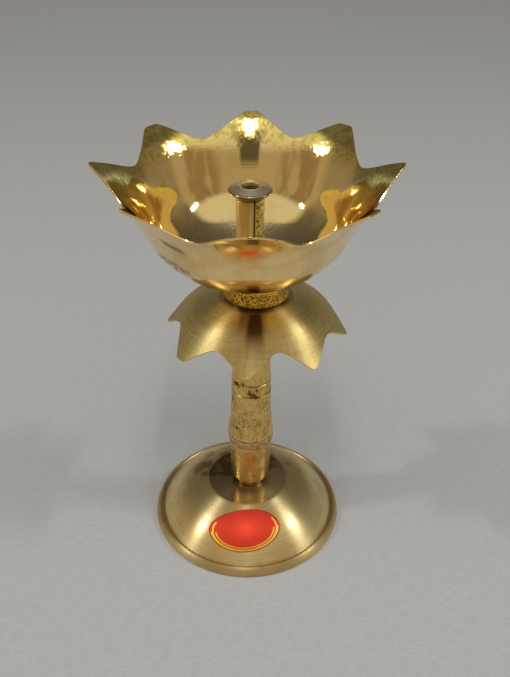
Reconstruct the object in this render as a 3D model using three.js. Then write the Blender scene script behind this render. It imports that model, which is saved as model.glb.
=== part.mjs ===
// Lotus pedestal oil lamp in brass: a dished foot, a bamboo-like stem, an inverted lotus skirt,
// a short collar, a lotus bowl and a wick holder, all clamped by one threaded rod.
// Millimetres, +Z up. The lamp stands on Z = 0, with the middle of its outer box over the origin.

import * as THREE from 'three';
import { mergeVertices } from 'three/addons/utils/BufferGeometryUtils.js';

const PETALS = 8;
const FIT_GAP = 0.3;
const DEGREE = Math.PI / 180;

// The holes are loose on the rod, so hand assembly leaves each piece a little off the foot's axis.
// These are the offsets along X.
const ROD_OFFSET = 0.6;
const STEM_OFFSET = 1;
const SKIRT_OFFSET = 2.2;
const COLLAR_OFFSET = 2.2;
const BOWL_OFFSET = -0.4;
const WICK_OFFSET = 0;

// Foot
const BASE_RADIUS = 35.4;
const BASE_LIP_HEIGHT = 3.4;
const BASE_GROOVE_RADIUS = 32.6;
const BASE_GROOVE_HEIGHT = 2.9;
const BASE_CREST_RADIUS = 14.7;
const BASE_DOME_BULGE = 1.7;
const BASE_TOP_HEIGHT = 15.55;
const BASE_SHEET = 1.3;
const BASE_HOLE_RADIUS = 3.6;

// Rod, nut and washers
const ROD_RADIUS = 2.38;
const ROD_BOTTOM = 6;
const ROD_TOP = 110.2;
const NUT_ACROSS_FLATS = 9;
const NUT_HEIGHT = 4;
const WASHER_RADIUS = 8;
const WASHER_HEIGHT = 1.2;
const BOWL_WASHER_RADIUS = 6.5;
const BOWL_WASHER_HEIGHT = 1;

// Stem: a polished ferrule below and a rough cast column above
const STEM_HOLE_RADIUS = 3.5;
const FERRULE_TOP = 39.35;
const COLUMN_TOP = 95.65;

// Petals: both sheets were spun first and snipped by hand. A power of 1.5 makes a straight snip, so the
// sides are very slightly hollow, and each valley is a little round.
const SNIP_POWER = 1.55;

// Skirt: tips and valleys lie on one bell-shaped surface
const SKIRT_TOP_HEIGHT = 97.15;
const SKIRT_HOLE_RADIUS = 4.6;
const SKIRT_SHEET = 0.9;
const SKIRT_TURN = -6.2;
const SKIRT_TILT_X = -0.4;
const SKIRT_TILT_Y = -0.3;

// For each petal, anticlockwise from the +X side: the radius of the valley before it and of its tip, how
// far the tip leans to one side in degrees, and the share of its width that is cut off blunt.
const SKIRT_PETALS = [
  { valley: 25.9, tip: 30.4, lean: 0, blunt: 0.03 },
  { valley: 25.2, tip: 30.3, lean: 0, blunt: 0.05 },
  { valley: 25.2, tip: 30.3, lean: 0, blunt: 0.05 },
  { valley: 25.2, tip: 30.3, lean: 0, blunt: 0.05 },
  { valley: 25.2, tip: 30.1, lean: -1.8, blunt: 0.05 },
  { valley: 25.5, tip: 30.5, lean: -1.3, blunt: 0.12 },
  { valley: 25.7, tip: 30.1, lean: 0.8, blunt: 0.05 },
  { valley: 25, tip: 30.1, lean: -1.1, blunt: 0.07 },
];

// Collar
const COLLAR_RADIUS = 9.8;
const COLLAR_FOOT_RADIUS = 10.7;
const COLLAR_TOP = 103.25;
const COLLAR_HOLE_RADIUS = 4.6;

// Bowl: heights are before its tilt about the collar
const BOWL_HOLE_RADIUS = 3.8;
const BOWL_FLOOR_HEIGHT = 103.65;
const BOWL_SHEET = 0.9;
const BOWL_TURN = 0.8;
const BOWL_TILT = 1.5;
const BOWL_PIVOT_HEIGHT = 98.65;

// The bowl's petals, as the skirt's
const BOWL_PETALS = [
  { valley: 38.6, tip: 46.2, lean: 0.6, blunt: 0.02 },
  { valley: 38.5, tip: 45.9, lean: 0.7, blunt: 0.12 },
  { valley: 39.4, tip: 45.75, lean: -1.7, blunt: 0.1 },
  { valley: 39.1, tip: 45.2, lean: 0, blunt: 0.13 },
  { valley: 38.6, tip: 46.7, lean: 2, blunt: 0.02 },
  { valley: 38.4, tip: 46.5, lean: -1, blunt: 0.03 },
  { valley: 38.7, tip: 46, lean: 0, blunt: 0.1 },
  { valley: 38.3, tip: 46, lean: 0, blunt: 0.13 },
];

// Wick holder
const TUBE_RADIUS = 4.4;
const TUBE_BORE_RADIUS = 3.6;
const TUBE_BOTTOM = 106.45;
const TUBE_TOP = 130.85;
const WICK_HOLE_RADIUS = 2.88;
const SPIGOT_RADIUS = 3.3;
const SPIGOT_LENGTH = 4.5;
const DISC_RADIUS = 6.75;
const DISC_TOP = 134.65;

// Foil oval on the front of the foot: its half width and half length along the dome
const FOIL_HALF_WIDTH = 13.1;
const FOIL_HALF_LENGTH = 7.6;
const FOIL_MIDDLE = 0.44;
const FOIL_TURN = -91.2;
const FOIL_ROLL = 7;
const FOIL_THICKNESS = 0.25;
const FOIL_LIFT = 0.12;

function metal(color, roughness) {
  return new THREE.MeshStandardMaterial({ color, roughness, metalness: 1 });
}

const polishedBrass = metal(0xc9a85c, 0.18);
const satinBrass = metal(0xb89a55, 0.32);
const castBrass = metal(0xb3a060, 0.5);
const brushedBrass = metal(0xb48c50, 0.3);
const speckledBrass = metal(0xc39a2e, 0.42);
const platedSteel = metal(0x9a9a98, 0.35);
const redFibre = new THREE.MeshStandardMaterial({ color: 0x6b3a2a, roughness: 0.8, metalness: 0 });
const redFoil = new THREE.MeshStandardMaterial({ color: 0xd8301a, roughness: 0.3, metalness: 0.4 });

// A turned piece: its outline in (radius, height) runs anticlockwise and closes on itself.
function turned(outline, segments) {
  const points = [...outline, outline[0]].map(([r, z]) => new THREE.Vector2(r, z));
  const geometry = new THREE.LatheGeometry(points, segments);
  geometry.rotateX(Math.PI / 2);
  geometry.deleteAttribute('normal');
  geometry.deleteAttribute('uv');
  return mergeVertices(geometry, 1e-4);
}

function namedMesh(name, geometry, material) {
  geometry.computeVertexNormals();
  const mesh = new THREE.Mesh(geometry, material);
  mesh.name = name;
  return mesh;
}

// Where the edge of a petalled sheet lies at an angle, as a share of its section's length. It rises from
// the valley on each side of a petal to the blunt tip.
function petalEdge(angle, turn, petals) {
  const step = (angle / DEGREE - turn) / (360 / PETALS) + 0.5;
  const index = ((Math.floor(step) % PETALS) + PETALS) % PETALS;
  const petal = petals[index];
  const place = step - Math.floor(step);
  const tipPlace = 0.5 + petal.lean / (360 / PETALS);
  const rising = place < tipPlace;
  const valley = rising ? petal.valley : petals[(index + 1) % PETALS].valley;
  const rise = rising ? place / tipPlace : (1 - place) / (1 - tipPlace);
  const share = Math.min(rise / (1 - petal.blunt), 1) ** SNIP_POWER;
  return THREE.MathUtils.lerp(valley, petal.tip, share);
}

// The angles of a rim's columns, so that each valley and each tip has one.
function petalAngles(turn, petals, columns) {
  const angles = [];
  petals.forEach((petal, k) => {
    const valley = turn + (k - 0.5) * (360 / PETALS);
    const toTip = 180 / PETALS + petal.lean;
    const fromTip = 180 / PETALS - petal.lean;
    for (let i = 0; i < columns; i++) angles.push(valley + (toTip * i) / columns);
    for (let i = 0; i < columns; i++) angles.push(valley + toTip + (fromTip * i) / columns);
  });
  return angles.map((angle) => angle * DEGREE);
}

// The share of a section's length at which it reaches a radius.
function shareAtRadius(curve, radius) {
  let low = 0;
  let high = 1;
  for (let k = 0; k < 30; k++) {
    const middle = (low + high) / 2;
    if (curve.getPointAt(middle).x < radius) low = middle;
    else high = middle;
  }
  return high;
}

// The radii of petals as shares of their section's length
function petalsOn(curve, petals) {
  return petals.map((petal) => ({
    ...petal,
    valley: shareAtRadius(curve, petal.valley),
    tip: shareAtRadius(curve, petal.tip),
  }));
}

// A point of a petalled sheet: a surface turned from the section and cut off along the petals' edge.
function petalPoint(curve, angle, t, turn, petals) {
  const { x: radius, y: height } = curve.getPointAt(Math.min(petalEdge(angle, turn, petals) * t, 1));
  return new THREE.Vector3(radius * Math.cos(angle), radius * Math.sin(angle), height);
}

// A sheet metal shell. surface(angle, t) is a point of its show face, from the hole at t = 0 to the rim
// at t = 1. The other face lies at the given distance along the surface's own normal, which points
// down and outward on a bowl.
function sheetShell(surface, angles, rows, distance) {
  const positions = [];
  const columns = angles.length;
  const small = 1e-3;
  const show = [];
  const back = [];
  for (const angle of angles) {
    for (let j = 0; j <= rows; j++) {
      const t = j / rows;
      const point = surface(angle, t);
      const around = surface(angle + small, t).sub(surface(angle - small, t));
      const outward = surface(angle, Math.min(t + small, 1)).sub(surface(angle, Math.max(t - small, 0)));
      const normal = around.cross(outward).normalize();
      show.push(point);
      back.push(point.clone().addScaledVector(normal, distance));
    }
  }
  for (const point of [...show, ...back]) positions.push(point.x, point.y, point.z);
  const faces = [];
  const across = rows + 1;
  const backStart = show.length;
  const flip = distance > 0;
  const addQuad = (a, b, c, d) => {
    if (flip) faces.push(a, c, b, a, d, c);
    else faces.push(a, b, c, a, c, d);
  };
  for (let i = 0; i < columns; i++) {
    const here = i * across;
    const next = ((i + 1) % columns) * across;
    for (let j = 0; j < rows; j++) {
      addQuad(here + j, next + j, next + j + 1, here + j + 1);
      addQuad(backStart + here + j, backStart + here + j + 1, backStart + next + j + 1, backStart + next + j);
    }
    addQuad(here + rows, next + rows, backStart + next + rows, backStart + here + rows);
    addQuad(next, here, backStart + here, backStart + next);
  }
  const geometry = new THREE.BufferGeometry();
  geometry.setAttribute('position', new THREE.Float32BufferAttribute(positions, 3));
  geometry.setIndex(faces);
  return geometry;
}

// A point of the dome, from the crest at s = 0 to the groove at s = 1, raised by its bulge.
function domePoint(s, inset) {
  const slope = new THREE.Vector2(
    BASE_GROOVE_RADIUS - BASE_CREST_RADIUS,
    BASE_GROOVE_HEIGHT - BASE_TOP_HEIGHT,
  );
  const outward = new THREE.Vector2(-slope.y, slope.x).normalize();
  const bulge = BASE_DOME_BULGE * Math.sin(Math.PI * s) - inset;
  return [
    BASE_CREST_RADIUS + slope.x * s + outward.x * bulge,
    BASE_TOP_HEIGHT + slope.y * s + outward.y * bulge,
  ];
}

function baseDish() {
  const steps = 6;
  const outer = [];
  const inner = [];
  for (let k = 0; k <= steps; k++) {
    outer.push(domePoint(1 - k / steps, 0));
    inner.push(domePoint(0.06 + (0.9 * k) / steps, BASE_SHEET));
  }
  return turned([
    [BASE_RADIUS - 3, 0],
    [BASE_RADIUS - 0.4, 0],
    [BASE_RADIUS, 0.4],
    [BASE_RADIUS - 0.15, 1.3],
    [BASE_RADIUS - 0.6, 2.3],
    [BASE_RADIUS - 1, 3],
    [BASE_RADIUS - 1.6, BASE_LIP_HEIGHT],
    [BASE_RADIUS - 2.2, BASE_LIP_HEIGHT],
    ...outer,
    [BASE_HOLE_RADIUS, BASE_TOP_HEIGHT],
    [BASE_HOLE_RADIUS, BASE_TOP_HEIGHT - BASE_SHEET],
    [BASE_CREST_RADIUS - 0.9, BASE_TOP_HEIGHT - BASE_SHEET],
    ...inner,
  ], 72);
}

function washer(radius, hole, bottom, height) {
  return turned([
    [hole, bottom],
    [radius, bottom],
    [radius, bottom + height],
    [hole, bottom + height],
  ], 32);
}

function baseNut(bottom) {
  const shape = new THREE.Shape();
  const corner = NUT_ACROSS_FLATS / Math.sqrt(3);
  for (let k = 0; k < 6; k++) {
    const angle = k * 60 * DEGREE;
    shape[k ? 'lineTo' : 'moveTo'](corner * Math.cos(angle), corner * Math.sin(angle));
  }
  shape.closePath();
  shape.holes.push(new THREE.Path().absarc(0, 0, ROD_RADIUS + FIT_GAP, 0, 2 * Math.PI, true));
  const geometry = new THREE.ExtrudeGeometry(shape, {
    depth: NUT_HEIGHT,
    bevelEnabled: false,
    curveSegments: 12,
  });
  geometry.translate(0, 0, bottom);
  geometry.deleteAttribute('normal');
  geometry.deleteAttribute('uv');
  return mergeVertices(geometry, 1e-4);
}

function tieRod() {
  const chamfer = 0.6;
  return turned([
    [0, ROD_BOTTOM],
    [ROD_RADIUS - chamfer, ROD_BOTTOM],
    [ROD_RADIUS, ROD_BOTTOM + chamfer],
    [ROD_RADIUS, ROD_TOP - chamfer],
    [ROD_RADIUS - chamfer, ROD_TOP],
    [0, ROD_TOP],
  ], 24);
}

// Polished ferrule: a narrow neck on the foot, a slightly flared barrel and a bead at its top
function stemFerrule() {
  const foot = BASE_TOP_HEIGHT + FIT_GAP;
  return turned([
    [STEM_HOLE_RADIUS, foot],
    [5.4, foot],
    [5.4, 18.2],
    [6.5, 18.3],
    [6.9, 18.8],
    [7.15, 19.6],
    [7.3, 22],
    [7.45, 28.6],
    [7.75, 33.2],
    [7.85, 35.7],
    [7.75, 36],
    [8.05, 36.5],
    [8.2, 37.3],
    [8.2, 38.7],
    [7.9, FERRULE_TOP],
    [STEM_HOLE_RADIUS, FERRULE_TOP],
  ], 40);
}

// Cast column: a knuckle over the ferrule, a slow taper, two engraved rings and a second length above
function stemColumn() {
  const foot = FERRULE_TOP + FIT_GAP;
  return turned([
    [STEM_HOLE_RADIUS, foot],
    [7.9, foot],
    [8.2, 40.2],
    [8, 41.9],
    [7.5, 45.5],
    [7.15, 50.7],
    [6.95, 56.7],
    [6.95, 59],
    [6.7, 59.3],
    [6.95, 59.6],
    [6.9, 63.5],
    [6.6, 64],
    [7, 64.4],
    [6.75, 65],
    [6.6, 74.7],
    [6.9, 84.7],
    [7.6, 89.2],
    [7.2, 90.7],
    [7.2, COLUMN_TOP],
    [STEM_HOLE_RADIUS, COLUMN_TOP],
  ], 40);
}

// The skirt's section, from the hole to past the longest petal, as (radius, height above the tilt point)
const skirtCurve = new THREE.SplineCurve([
  new THREE.Vector2(SKIRT_HOLE_RADIUS, 0.2),
  new THREE.Vector2(10, 0),
  new THREE.Vector2(15, -0.9),
  new THREE.Vector2(20, -2.5),
  new THREE.Vector2(24, -5.4),
  new THREE.Vector2(28, -10.2),
  new THREE.Vector2(31, -13.9),
]);
const skirtPetals = petalsOn(skirtCurve, SKIRT_PETALS);

function skirtSurface(angle, t) {
  return petalPoint(skirtCurve, angle, t, SKIRT_TURN, skirtPetals);
}

function lotusSkirt() {
  return sheetShell(skirtSurface, petalAngles(SKIRT_TURN, skirtPetals, 5), 8, SKIRT_SHEET);
}

function neckCollar() {
  const foot = SKIRT_TOP_HEIGHT + 0.75;
  return turned([
    [COLLAR_HOLE_RADIUS, foot],
    [COLLAR_FOOT_RADIUS, foot],
    [COLLAR_FOOT_RADIUS, foot + 0.4],
    [COLLAR_RADIUS + 0.4, foot + 1.1],
    [COLLAR_RADIUS, foot + 2.2],
    [COLLAR_RADIUS, COLLAR_TOP - 0.4],
    [COLLAR_RADIUS - 0.4, COLLAR_TOP],
    [COLLAR_HOLE_RADIUS, COLLAR_TOP],
  ], 40);
}

// The bowl's section, from the hole to past the longest petal, as (radius, height above the tilt point)
const bowlCurve = new THREE.SplineCurve([
  new THREE.Vector2(BOWL_HOLE_RADIUS, BOWL_FLOOR_HEIGHT - BOWL_PIVOT_HEIGHT),
  new THREE.Vector2(10, 5.6),
  new THREE.Vector2(16, 8.9),
  new THREE.Vector2(22, 12.3),
  new THREE.Vector2(26, 15.8),
  new THREE.Vector2(30, 20.7),
  new THREE.Vector2(33, 26.7),
  new THREE.Vector2(36, 32.2),
  new THREE.Vector2(38.7, 36.3),
  new THREE.Vector2(41.8, 39.9),
  new THREE.Vector2(47, 43.7),
]);
const bowlPetals = petalsOn(bowlCurve, BOWL_PETALS);

function bowlSurface(angle, t) {
  return petalPoint(bowlCurve, angle, t, BOWL_TURN, bowlPetals);
}

function lotusBowl() {
  return sheetShell(bowlSurface, petalAngles(BOWL_TURN, bowlPetals, 6), 14, -BOWL_SHEET);
}

function wickTube() {
  return turned([
    [TUBE_BORE_RADIUS, TUBE_BOTTOM],
    [TUBE_RADIUS + 0.4, TUBE_BOTTOM],
    [TUBE_RADIUS + 0.4, TUBE_BOTTOM + 1],
    [TUBE_RADIUS - 0.1, TUBE_BOTTOM + 1.6],
    [TUBE_RADIUS, TUBE_TOP],
    [TUBE_BORE_RADIUS, TUBE_TOP],
  ], 32);
}

// Drip disc: a spigot in the tube, a coned underside, a thin edge, and a coned top up to the wick hole
function dripDisc() {
  const seat = TUBE_TOP + FIT_GAP;
  return turned([
    [WICK_HOLE_RADIUS, seat - SPIGOT_LENGTH],
    [SPIGOT_RADIUS, seat - SPIGOT_LENGTH],
    [SPIGOT_RADIUS, seat],
    [TUBE_RADIUS + 0.1, seat],
    [DISC_RADIUS - 0.35, seat + 1.6],
    [DISC_RADIUS, seat + 1.9],
    [DISC_RADIUS, seat + 2.3],
    [DISC_RADIUS - 0.5, seat + 2.6],
    [3.6, DISC_TOP - 0.25],
    [3.2, DISC_TOP],
    [WICK_HOLE_RADIUS, DISC_TOP - 0.15],
  ], 40);
}

// A thin oval that follows the front of the dome
function foilLabel() {
  const rings = 3;
  const around = 32;
  const roll = FOIL_ROLL * DEGREE;
  const domeLength = Math.hypot(
    BASE_GROOVE_RADIUS - BASE_CREST_RADIUS,
    BASE_GROOVE_HEIGHT - BASE_TOP_HEIGHT,
  );
  const layer = (lift) => {
    const points = [];
    for (let ring = 0; ring <= rings; ring++) {
      const count = ring ? around : 1;
      for (let k = 0; k < count; k++) {
        const angle = (2 * Math.PI * k) / around;
        const wide = (FOIL_HALF_WIDTH * ring * Math.cos(angle)) / rings;
        const long = (FOIL_HALF_LENGTH * ring * Math.sin(angle)) / rings;
        const sideways = wide * Math.cos(roll) - long * Math.sin(roll);
        const along = wide * Math.sin(roll) + long * Math.cos(roll);
        const [radius, height] = domePoint(FOIL_MIDDLE - along / domeLength, -lift);
        const [middleRadius] = domePoint(FOIL_MIDDLE, 0);
        const turn = FOIL_TURN * DEGREE + sideways / middleRadius;
        points.push([radius * Math.cos(turn), radius * Math.sin(turn), height]);
      }
    }
    return points;
  };
  const bottom = layer(FOIL_LIFT);
  const top = layer(FOIL_LIFT + FOIL_THICKNESS);
  const faces = [];
  const at = (ring, k) => (ring ? 1 + (ring - 1) * around + (k % around) : 0);
  const offset = bottom.length;
  for (let k = 0; k < around; k++) {
    for (let ring = 0; ring < rings; ring++) {
      const [a, b, c, d] = [at(ring, k), at(ring + 1, k), at(ring + 1, k + 1), at(ring, k + 1)];
      faces.push(offset + a, offset + b, offset + c, a, c, b);
      if (ring) faces.push(offset + a, offset + c, offset + d, a, d, c);
    }
    const [edge, nextEdge] = [at(rings, k), at(rings, k + 1)];
    faces.push(edge, nextEdge, offset + nextEdge, edge, offset + nextEdge, offset + edge);
  }
  const geometry = new THREE.BufferGeometry();
  geometry.setAttribute('position', new THREE.Float32BufferAttribute([...bottom, ...top].flat(), 3));
  geometry.setIndex(faces);
  return geometry;
}

const lamp = new THREE.Group();

const foot = new THREE.Group();
const washerBottom = BASE_TOP_HEIGHT - BASE_SHEET - FIT_GAP - WASHER_HEIGHT;
const nutBottom = washerBottom - FIT_GAP - NUT_HEIGHT;
foot.add(
  namedMesh('base_dish', baseDish(), satinBrass),
  namedMesh('foil_label', foilLabel(), redFoil),
);

const rod = new THREE.Group();
rod.position.x = ROD_OFFSET;
rod.add(
  namedMesh(
    'base_washer',
    washer(WASHER_RADIUS, ROD_RADIUS + FIT_GAP, washerBottom, WASHER_HEIGHT),
    platedSteel,
  ),
  namedMesh('base_nut', baseNut(nutBottom), platedSteel),
  namedMesh('tie_rod', tieRod(), platedSteel),
);

const stem = new THREE.Group();
stem.position.x = STEM_OFFSET;
stem.add(
  namedMesh('stem_ferrule', stemFerrule(), polishedBrass),
  namedMesh('stem_column', stemColumn(), castBrass),
);

const skirt = new THREE.Group();
skirt.position.set(SKIRT_OFFSET, 0, SKIRT_TOP_HEIGHT);
skirt.rotation.set(SKIRT_TILT_X * DEGREE, SKIRT_TILT_Y * DEGREE, 0);
skirt.add(namedMesh('lotus_skirt', lotusSkirt(), brushedBrass));

const collar = new THREE.Group();
collar.position.x = COLLAR_OFFSET;
collar.add(namedMesh('neck_collar', neckCollar(), speckledBrass));

const bowl = new THREE.Group();
bowl.position.set(BOWL_OFFSET, 0, BOWL_PIVOT_HEIGHT);
bowl.rotation.x = BOWL_TILT * DEGREE;
const bowlWasherBottom = BOWL_FLOOR_HEIGHT + BOWL_SHEET + FIT_GAP - BOWL_PIVOT_HEIGHT;
bowl.add(
  namedMesh('lotus_bowl', lotusBowl(), polishedBrass),
  namedMesh(
    'bowl_washer',
    washer(BOWL_WASHER_RADIUS, BOWL_HOLE_RADIUS, bowlWasherBottom, BOWL_WASHER_HEIGHT),
    redFibre,
  ),
);

const wickHolder = new THREE.Group();
wickHolder.position.x = WICK_OFFSET;
wickHolder.add(
  namedMesh('wick_tube', wickTube(), speckledBrass),
  namedMesh('drip_disc', dripDisc(), polishedBrass),
);

lamp.add(foot, rod, stem, skirt, collar, bowl, wickHolder);

// The outer box is measured point by point, and its middle is put over the origin.
lamp.updateMatrixWorld(true);
const outerBox = new THREE.Box3().setFromObject(lamp, true);
const middle = outerBox.getCenter(new THREE.Vector3());
lamp.position.set(-middle.x, -middle.y, -outerBox.min.z);

export default lamp;
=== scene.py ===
import math

import bpy
from mathutils import Matrix, Vector, noise


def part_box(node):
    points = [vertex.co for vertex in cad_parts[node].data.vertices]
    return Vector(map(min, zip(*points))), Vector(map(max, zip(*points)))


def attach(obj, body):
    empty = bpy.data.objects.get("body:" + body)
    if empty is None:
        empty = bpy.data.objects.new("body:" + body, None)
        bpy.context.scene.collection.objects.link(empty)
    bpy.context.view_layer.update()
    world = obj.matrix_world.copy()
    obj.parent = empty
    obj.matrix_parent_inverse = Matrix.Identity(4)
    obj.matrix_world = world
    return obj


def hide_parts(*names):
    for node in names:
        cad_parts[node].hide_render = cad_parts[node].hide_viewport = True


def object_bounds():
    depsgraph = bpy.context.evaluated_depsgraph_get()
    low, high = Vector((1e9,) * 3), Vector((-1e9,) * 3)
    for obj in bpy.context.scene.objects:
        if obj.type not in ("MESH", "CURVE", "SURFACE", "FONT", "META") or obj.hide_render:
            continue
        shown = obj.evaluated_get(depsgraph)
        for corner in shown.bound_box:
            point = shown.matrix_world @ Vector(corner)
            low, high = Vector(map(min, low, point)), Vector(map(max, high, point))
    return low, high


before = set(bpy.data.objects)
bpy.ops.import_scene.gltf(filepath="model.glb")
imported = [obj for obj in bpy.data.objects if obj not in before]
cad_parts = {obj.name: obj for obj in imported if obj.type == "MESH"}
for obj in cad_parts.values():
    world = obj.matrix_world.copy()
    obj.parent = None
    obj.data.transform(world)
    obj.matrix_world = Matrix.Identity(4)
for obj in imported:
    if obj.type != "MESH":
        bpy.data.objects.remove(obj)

cad_low, cad_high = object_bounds()

# The view: a camera in front of the lamp and above it, as a hand-held telephone sees it on a table.
# Its place and tilt were found by fitting the foot, skirt and bowl to their outlines.
mm = 0.001
foot_low, foot_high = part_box("base_dish")
foot_middle = (foot_low + foot_high) / 2
camera_height = 223.46 * mm
camera_right = 0.32 * mm
camera_distance = 211.8 * mm
pitch_down = math.radians(34.185)
heading_right = math.radians(0.476)
roll_left = math.radians(0.894)
focal_pixels = 757.7
picture_height = 677
sensor = 36

camera_data = bpy.data.cameras.new("camera")
camera_data.sensor_width = sensor
camera_data.lens = focal_pixels / picture_height * sensor
camera_data.clip_start = 10 * mm
camera = bpy.data.objects.new("camera", camera_data)
bpy.context.scene.collection.objects.link(camera)
turn_head = Matrix.Rotation(-heading_right, 4, "Z")
look_down = Matrix.Rotation(math.pi / 2 - pitch_down, 4, "X")
lean = Matrix.Rotation(roll_left, 4, "Z")
stand = Vector((foot_middle.x + camera_right, foot_middle.y - camera_distance, camera_height))
camera.matrix_world = Matrix.Translation(stand) @ turn_head @ look_down @ lean
bpy.context.scene.camera = camera
bpy.context.scene.view_settings.view_transform = "Standard"


# The studio: a pale floor with a faint weave, and a room that the brass mirrors, with soft panels and a
# gap between them, warm drapes at the sides, a dark part behind and a pale low wall. A small light at
# each side makes the streaks on turned brass, and a narrow one hangs overhead.
class Wire:
    """One socket of a material. A sum written with wires adds its Math nodes to the material."""

    def __init__(self, tree, socket=None):
        self.tree = tree
        self.socket = socket

    def node(self, kind, settings=None, inputs=None, output=0):
        """Adds a node: its settings first, then its sockets' values or wires. Gives one output back."""
        made = self.tree.nodes.new("ShaderNode" + kind)
        for name, value in (settings or {}).items():
            setattr(made, name, value)
        for name, value in (inputs or {}).items():
            if isinstance(value, Wire):
                self.tree.links.new(value.socket, made.inputs[name])
            else:
                made.inputs[name].default_value = value
        return Wire(self.tree, made.outputs[output])

    def maths(self, operation, *values):
        return self.node("Math", {"operation": operation}, dict(enumerate(values)))

    def __add__(self, other):
        return self.maths("ADD", self, other)

    def __radd__(self, other):
        return self.maths("ADD", other, self)

    def __sub__(self, other):
        return self.maths("SUBTRACT", self, other)

    def __rsub__(self, other):
        return self.maths("SUBTRACT", other, self)

    def __mul__(self, other):
        return self.maths("MULTIPLY", self, other)

    def __rmul__(self, other):
        return self.maths("MULTIPLY", other, self)

    def __pow__(self, other):
        return self.maths("POWER", self, other)

    def __abs__(self):
        return self.maths("ABSOLUTE", self)

    def between(self, low, high):
        """0 below low, 1 above high and a smooth step from one to the other."""
        settings = {"interpolation_type": "SMOOTHSTEP"}
        return self.node("MapRange", settings, {"Value": self, "From Min": low, "From Max": high})

    def speckle(self, scale, detail=3.0, roughness=0.55, distortion=0.0):
        """Noise from 0 to 1 at the point this wire holds. The scale is in waves to the metre."""
        values = {"Vector": self, "Scale": scale, "Detail": detail, "Roughness": roughness}
        return self.node("TexNoise", None, {**values, "Distortion": distortion})

    def tint(self, without, within):
        """The first colour where this mask is 0, the second where it is 1."""
        return self.node("Mix", {"data_type": "RGBA"}, {0: self, 6: without, 7: within}, output=2)


def point_of(x, y, z):
    """Three numbers or wires as one point. Noise at a point that is stretched makes streaks."""
    tree = next(value for value in (x, y, z) if isinstance(value, Wire))
    return tree.node("CombineXYZ", None, {0: x, 1: y, 2: z})


def finish_of(name, paint, **constants):
    """A material. paint(wire) gives its varying sockets; constants are set on the shader itself."""
    material = bpy.data.materials.new(name)
    material.use_nodes = True
    tree = material.node_tree
    shader = tree.nodes["Principled BSDF"]
    for socket, value in constants.items():
        shader.inputs[socket.replace("_", " ")].default_value = value
    for socket, value in paint(Wire(tree)).items():
        if isinstance(value, Wire):
            tree.links.new(value.socket, shader.inputs[socket])
        else:
            shader.inputs[socket].default_value = value
    return material


def bumped(height, depth):
    """A normal from a height of 0 to 1 that stands for a depth in metres."""
    return height.node("Bump", None, {"Strength": 1.0, "Distance": depth, "Height": height})


floor_reach = 4.0
floor_dark = (0.61, 0.64, 0.67, 1)
floor_light = (0.67, 0.70, 0.73, 1)
along_thread = 300
across_thread = 1300


def paint_floor(wire):
    place = wire.node("TexCoord", output="Object")
    x, y = (place.node("SeparateXYZ", None, {0: place}, output=axis) for axis in (0, 1))
    weft = point_of(x * along_thread, y * across_thread, 0).speckle(1.0, 2)
    warp = point_of(x * across_thread, y * along_thread, 0).speckle(1.0, 2)
    weave = (weft * 0.6 + warp * 0.4).between(0.35, 0.65)
    return {
        "Base Color": weave.tint(floor_dark, floor_light),
        "Normal": bumped(weave, 0.03 * mm),
    }


floor_mesh = bpy.data.meshes.new("floor")
floor_corners = [(-floor_reach, -floor_reach, 0), (floor_reach, -floor_reach, 0)]
floor_corners += [(floor_reach, floor_reach, 0), (-floor_reach, floor_reach, 0)]
floor_mesh.from_pydata(floor_corners, [], [(0, 1, 2, 3)])
floor_mesh.materials.append(finish_of("pale_floor", paint_floor, Roughness=0.75, Specular_IOR_Level=0.2))
floor = bpy.data.objects.new("floor", floor_mesh)
bpy.context.scene.collection.objects.link(floor)

wall_colour = (0.44, 0.37, 0.27, 1)
ceiling_colour = (0.38, 0.36, 0.32, 1)
drape_colour = (0.28, 0.18, 0.11, 1)
dark_wall_colour = (0.11, 0.10, 0.085, 1)
dark_ceiling_colour = (0.15, 0.14, 0.12, 1)
panel_colour = (0.70, 0.66, 0.60, 1)
gap_colour = (0.12, 0.10, 0.08, 1)
low_wall_colour = (0.42, 0.42, 0.42, 1)

world = bpy.data.worlds.new("studio")
world.use_nodes = True
room_light = world.node_tree.nodes["Background"]
room = Wire(world.node_tree)
look = room.node("TexCoord", output="Generated")
to_right, to_back, upward = (
    look.node("SeparateXYZ", None, {0: look}, output=axis) for axis in (0, 1, 2)
)
aside = abs(to_right)
behind = to_back.between(-0.16, 0.04) * (1 - aside.between(0.70, 0.95) * 0.6)
round_room = to_right.maths("ARCTAN2", to_right, to_back)
folds = point_of(round_room * 3.2, upward * 1.6, 4).speckle(1.0, 2).between(0.44, 0.58)
drapes = folds * aside.between(0.40, 0.60) * 0.8
gap = (1 - aside.between(0.12, 0.17)) * upward.between(0.50, 0.56) * (1 - upward.between(0.80, 0.86))
panels = upward.between(0.58, 0.70) * (1 - aside.between(0.80, 0.95)) * (1 - behind)
overhead = upward.between(0.55, 0.95)
walls = drapes.tint(overhead.tint(wall_colour, ceiling_colour), drape_colour)
backdrop = overhead.tint(dark_wall_colour, dark_ceiling_colour)
mirrored = panels.tint(behind.tint(walls, backdrop), panel_colour)
mirrored = gap.tint(mirrored, gap_colour)
mirrored = upward.between(0.10, 0.24).tint(low_wall_colour, mirrored)
world.node_tree.links.new(mirrored.socket, room_light.inputs["Color"])
bpy.context.scene.world = world

lamp_middle = (cad_low + cad_high) / 2


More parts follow.
